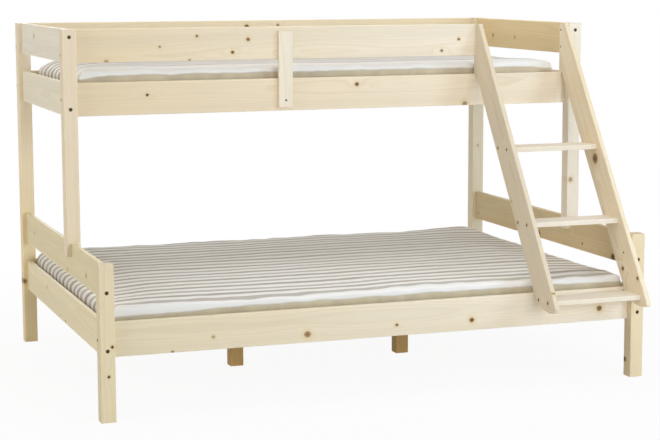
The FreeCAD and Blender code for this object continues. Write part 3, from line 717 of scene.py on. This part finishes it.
# Striped cover over the top and the ends, and a plain border below a seam along both sides
def clothMaterial(name, low, high, settings):
    material, tree = newMaterial(name)
    shader = tree.nodes["Principled BSDF"]
    spot, seed = objectSpot(tree), settings["seed"]
    striped = useGroup(tree, tickingGroup, {"Vector": spot, "Seed": seed, "Start": settings["firstStripe"]})
    xyz = parts(tree, spot)
    halfWide = (high.y - low.y) / 2
    fromMiddle = calc(tree, "ABSOLUTE", calc(tree, "SUBTRACT", xyz["Y"], (low.y + high.y) / 2))
    inner = halfWide - settings["margin"]
    margin = remap(tree, fromMiddle, inner - cloths["marginBlur"], inner)
    plain = blendColour(tree, margin, striped["Color"], settings["plain"])

    waver = stretched(tree, spot, (9.0, 1.0, 1.0), 3.0, seed).outputs[0]
    leftDrop, rightDrop = settings["seamDrop"]
    begins, ends = cloths["rightRun"]
    level = calc(tree, "ADD", settings["seam"],
                 remap(tree, waver, 0.2, 0.8, -cloths["seamWaver"], cloths["seamWaver"], smooth=False))
    level = calc(tree, "SUBTRACT", level,
                 remap(tree, xyz["X"], low.x, low.x + settings["seamRun"], leftDrop, 0.0))
    level = calc(tree, "SUBTRACT", level,
                 remap(tree, xyz["X"], high.x - begins, high.x - ends, 0.0, rightDrop))
    below = calc(tree, "SUBTRACT", level, xyz["Z"])
    sideStart, sideFull = (halfWide - reach for reach in cloths["sideReach"])
    onSide = remap(tree, fromMiddle, sideStart, sideFull)
    border = calc(tree, "MULTIPLY", remap(tree, below, 0.0, cloths["borderBlur"]), onSide)
    crease = stretched(tree, spot, cloths["creaseNoise"], 3.0, seed).outputs[0]
    sideCloth = shaded(tree, settings["border"], remap(tree, crease, 0.3, 0.7, *cloths["creaseShade"]))
    colour = blendColour(tree, border, plain, sideCloth)
    stitch = remap(tree, calc(tree, "ABSOLUTE", below), *cloths["stitch"], 1.0, 0.0)
    stitch = calc(tree, "MULTIPLY", stitch, onSide)
    colour = blendColour(tree, calc(tree, "MULTIPLY", stitch, cloths["stitchShare"]), colour, ticking["seam"])
    height = calc(tree, "SUBTRACT", striped["Height"], calc(tree, "MULTIPLY", stitch, cloths["stitchDepth"]))
    bump = put(tree, "ShaderNodeBump", {"Height": height, "Strength": cloths["relief"],
                                        "Distance": cloths["reliefDepth"]})
    tree.links.new(colour, shader.inputs["Base Color"])
    tree.links.new(bump.outputs["Normal"], shader.inputs["Normal"])
    shader.inputs["Roughness"].default_value = cloths["roughness"]
    shader.inputs["Specular IOR Level"].default_value = cloths["gloss"]
    shader.inputs["Sheen Weight"].default_value = cloths["sheen"]
    return material


def applyModifier(piece, modifier):
    bpy.context.view_layer.objects.active = piece
    with bpy.context.temp_override(object=piece, active_object=piece):
        bpy.ops.object.modifier_apply(modifier=modifier.name)


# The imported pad's own form, merged, evened out and a little smaller than its space
def makePad(nodeName, settings):
    mesh = nodes[nodeName].data.copy()
    mesh.name = settings["piece"]
    mesh.materials.clear()
    shape = bmesh.new()
    shape.from_mesh(mesh)
    bmesh.ops.remove_doubles(shape, verts=shape.verts, dist=0.0001)
    bmesh.ops.recalc_face_normals(shape, faces=shape.faces)
    shape.to_mesh(mesh)
    shape.free()
    piece = bpy.data.objects.new(settings["piece"], mesh)
    bpy.context.scene.collection.objects.link(piece)
    even = piece.modifiers.new("even", "REMESH")
    even.mode = "VOXEL"
    even.voxel_size = settings["voxel"]
    applyModifier(piece, even)
    shape = bmesh.new()
    shape.from_mesh(piece.data)
    for vertex in shape.verts:
        vertex.co -= vertex.normal * padding["shrink"]
    bmesh.ops.smooth_vert(shape, verts=shape.verts, factor=0.5,
                          use_axis_x=True, use_axis_y=True, use_axis_z=True)
    shape.to_mesh(piece.data)
    shape.free()
    return piece


# Blows the cover up with Blender's cloth, and keeps what it gives within a small cap
def inflate(piece):
    before = [v.co.copy() for v in piece.data.vertices]
    cloth = piece.modifiers.new("stuffing", "CLOTH")
    cloth.settings.quality = 5
    cloth.settings.mass = padding["weight"]
    cloth.settings.tension_stiffness = padding["stiffness"]
    cloth.settings.compression_stiffness = padding["stiffness"]
    cloth.settings.bending_stiffness = padding["bending"]
    cloth.settings.shrink_min = -padding["slack"]
    cloth.settings.use_pressure = True
    cloth.settings.uniform_pressure_force = padding["pressure"]
    cloth.settings.effector_weights.gravity = 0.0
    cloth.collision_settings.use_self_collision = False
    scene = bpy.context.scene
    for frameNumber in range(1, padding["frames"] + 1):
        scene.frame_set(frameNumber)
    applyModifier(piece, cloth)
    scene.frame_set(1)
    for vertex, start in zip(piece.data.vertices, before):
        move = vertex.co - start
        if move.length > padding["cap"]:
            vertex.co = start + move.normalized() * padding["cap"]


def smoothRise(value, low, high):
    share = min(max((value - low) / (high - low), 0.0), 1.0)
    return share * share * (3 - 2 * share)


def nearing(value, edge, band):
    start, full = bands[band]
    return smoothRise(value, edge - start, edge - full)


# Turns the square top edge of one end into a quarter of an ellipse
def roundTop(place, low, high, reach, drop):
    end, way = (low.x, 1.0) if place.x - low.x < high.x - place.x else (high.x, -1.0)
    across = 1.0 - (place.x - end) * way / reach
    upwards = (place.z - (high.z - drop)) / drop
    if across <= 0.0 or upwards <= 0.0:
        return
    across, upwards = min(across, 1.0), min(upwards, 1.0)
    place.x = end + way * reach * (1.0 - across * math.sqrt(1.0 - upwards * upwards / 2))
    place.z = high.z - drop + drop * upwards * math.sqrt(1.0 - across * across / 2)


# Slow waves on the top, a cover that stands proud of its border, and an underside flat on the slats
def settle(piece, low, high, settings):
    middle = (low + high) / 2
    half = (high - low) / 2
    seed, seam = settings["seed"], settings["seam"]
    waves, puckers, room = padding["waves"], padding["puckers"], padding["room"]
    for vertex in piece.data.vertices:
        place = vertex.co
        slow = noise.noise(Vector((place.x * waves, place.y * waves, seed)))
        pucker = noise.noise(Vector((place.x * puckers, place.y * puckers, seed + 9.0)))
        toEdge = min(half.x - abs(place.x - middle.x), half.y - abs(place.y - middle.y))
        nearEdge = 1.0 - smoothRise(toEdge, 0.0, padding["puckerReach"])
        if place.z > middle.z:
            place.z += settings["wave"] * (slow + padding["pucker"] * pucker * nearEdge)
        fromMiddle = abs(place.y - middle.y)
        alongSide = nearing(fromMiddle, half.y, "side")
        atEnd = nearing(abs(place.x - middle.x), half.x, "end")
        raised = smoothRise(place.z, middle.z, high.z - bands["top"])
        place.z += padding["edgeLift"] * raised * nearing(fromMiddle, half.y, "lift")
        corner = alongSide * settings["cornerFill"][0 if place.y < middle.y else 1]
        outwards = atEnd * max(corner, settings["endFill"] * (1.0 - alongSide))
        place.x += math.copysign(outwards * max(half.x - abs(place.x - middle.x), 0.0), place.x - middle.x)
        place.y += math.copysign(corner * atEnd * max(half.y - fromMiddle, 0.0), place.y - middle.y)
        onSide = nearing(fromMiddle, half.y, "border")
        out = 2 * smoothRise(place.z, seam + bands["seam"][0], seam + bands["seam"][1]) - 1
        out *= 1.0 + padding["lipWaver"] * noise.noise(Vector((place.x * 8.0, place.y * 2.0, seed + 4.0)))
        place.y += math.copysign(padding["lip"] * out * onSide, place.y - middle.y)
        place.y += math.copysign(padding["sidePush"] * alongSide, place.y - middle.y)
        farSide = smoothRise(place.y, high.y - bands["far"], high.y)
        leftEnd = smoothRise(-place.x, -low.x - bands["far"], -low.x)
        place.z -= settings["backDrop"] * raised * farSide * leftEnd

        place.x = min(max(place.x, low.x - room), high.x + room)
        place.y = min(max(place.y, low.y - room), high.y + room)
        place.z = low.z if place.z < low.z + padding["seat"] else min(place.z, high.z + room)
        reach, drop = settings["endRound"][0 if place.x < middle.x else 1]
        nearFront = 1.0 - smoothRise(place.y, low.y, low.y + bands["front"])
        lessReach, lessDrop = (1.0 - squarer * nearFront for squarer in bands["frontSquarer"])
        roundTop(place, low, high, reach * lessReach, drop * lessDrop)


for nodeName, settings in mattresses.items():
    low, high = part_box(nodeName)
    cover = makePad(nodeName, settings)
    inflate(cover)
    settle(cover, low, high, settings)
    for polygon in cover.data.polygons:
        polygon.use_smooth = True
    smooth = cover.modifiers.new("smooth", "SUBSURF")
    smooth.levels = 1
    smooth.render_levels = 1
    cover.data.materials.append(clothMaterial(settings["piece"] + "Cloth", low, high, settings))
    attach(cover, "root")
    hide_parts(nodeName)
    print("mattress made:", settings["piece"], len(cover.data.polygons), "faces")


stageSettings = {
    "floorSize": 40.0,
    "worldStrength": 0.175,
    "worldColour": (1.0, 0.96, 0.86, 1.0),
    "floorColour": (0.88, 0.88, 0.88, 1.0),
    "floorLift": 0.93,         # of the backdrop's white by the bed, and all of it far off
    "floorNear": 1.2,
    "floorFar": 3.4,
}
backdropWhite = {"Color": (1.0, 1.0, 1.0, 1.0), "Strength": 1.0}
lamps = {
    "front": {"place": (0.8, -6.0, 1.4), "aim": (0.0, 0.0, 0.8), "size": 2.5, "power": 116.0,
              "colour": (0.98, 0.99, 1.0)},
    "overhead": {"place": (0.0, -0.5, 4.5), "aim": (0.0, 0.0, 0.7), "size": 4.0, "power": 82.0,
                 "colour": (1.0, 1.0, 1.0)},
    "left": {"place": (-6.0, -2.5, 2.2), "aim": (0.0, 0.0, 0.7), "size": 3.0, "power": 82.0,
             "colour": (1.0, 0.97, 0.90)},
    "nearRight": {"place": (3.4, -3.8, 2.0), "aim": (0.6, -0.3, 0.8), "size": 1.5, "power": 60.0,
                  "colour": (0.70, 0.86, 1.0)},
    "backLeft": {"place": (-5.0, 3.0, 2.0), "aim": (-0.5, 0.3, 0.8), "size": 3.0, "power": 42.0,
                 "colour": (1.0, 1.0, 1.0)},
    "back": {"place": (1.0, 5.5, 2.6), "aim": (0.0, 0.0, 0.7), "size": 3.0, "power": 124.0,
             "colour": (1.0, 1.0, 1.0)},
}


# One where the camera, a reflection or glass looks at the backdrop, and nothing for the light it gives
def seenAsBackdrop(tree):
    rays = put(tree, "ShaderNodeLightPath", {}).outputs
    straight = calc(tree, "MAXIMUM", rays["Is Camera Ray"], rays["Is Glossy Ray"])
    return calc(tree, "MAXIMUM", straight, rays["Is Transmission Ray"])


def makeFloor(settings):
    mesh = bpy.data.meshes.new("floor")
    shape = bmesh.new()
    bmesh.ops.create_grid(shape, x_segments=1, y_segments=1, size=settings["floorSize"] / 2)
    shape.to_mesh(mesh)
    shape.free()
    floor = bpy.data.objects.new("floor", mesh)
    bpy.context.scene.collection.objects.link(floor)
    material, tree = newMaterial("paleFloor")
    tree.nodes.remove(tree.nodes["Principled BSDF"])
    paint = put(tree, "ShaderNodeBsdfDiffuse", {"Color": settings["floorColour"]})
    glow = put(tree, "ShaderNodeEmission", backdropWhite)
    away = along(tree, "LENGTH", objectSpot(tree))
    lift = remap(tree, away, settings["floorNear"], settings["floorFar"], settings["floorLift"], 1.0)
    share = calc(tree, "MULTIPLY", seenAsBackdrop(tree), lift)
    mixed = put(tree, "ShaderNodeMixShader", {0: share, 1: paint.outputs[0], 2: glow.outputs[0]})
    tree.links.new(mixed.outputs[0], tree.nodes["Material Output"].inputs["Surface"])
    mesh.materials.append(material)


def makeWorld(settings):
    world = bpy.data.worlds.new("studio")
    bpy.context.scene.world = world
    world.use_nodes = True
    tree = world.node_tree
    dome = tree.nodes["Background"]
    dome.inputs["Color"].default_value = settings["worldColour"]
    dome.inputs["Strength"].default_value = settings["worldStrength"]
    backdrop = put(tree, "ShaderNodeBackground", backdropWhite)
    mixed = put(tree, "ShaderNodeMixShader", {0: seenAsBackdrop(tree), 1: dome.outputs[0],
                                              2: backdrop.outputs[0]})
    tree.links.new(mixed.outputs[0], tree.nodes["World Output"].inputs["Surface"])


def makeLamp(name, settings):
    data = bpy.data.lights.new(name, "AREA")
    data.shape = "SQUARE"
    data.size = settings["size"]
    data.energy = settings["power"]
    data.color = settings["colour"]
    lamp = bpy.data.objects.new(name, data)
    bpy.context.scene.collection.objects.link(lamp)
    place, aim = Vector(settings["place"]), Vector(settings["aim"])
    lamp.location = place
    lamp.rotation_euler = (aim - place).to_track_quat("-Z", "Y").to_euler()
    lamp.visible_camera = False


makeFloor(stageSettings)
makeWorld(stageSettings)
for name, settings in lamps.items():
    makeLamp(name, settings)
bpy.context.scene.view_settings.view_transform = "Standard"
print("stage lit")
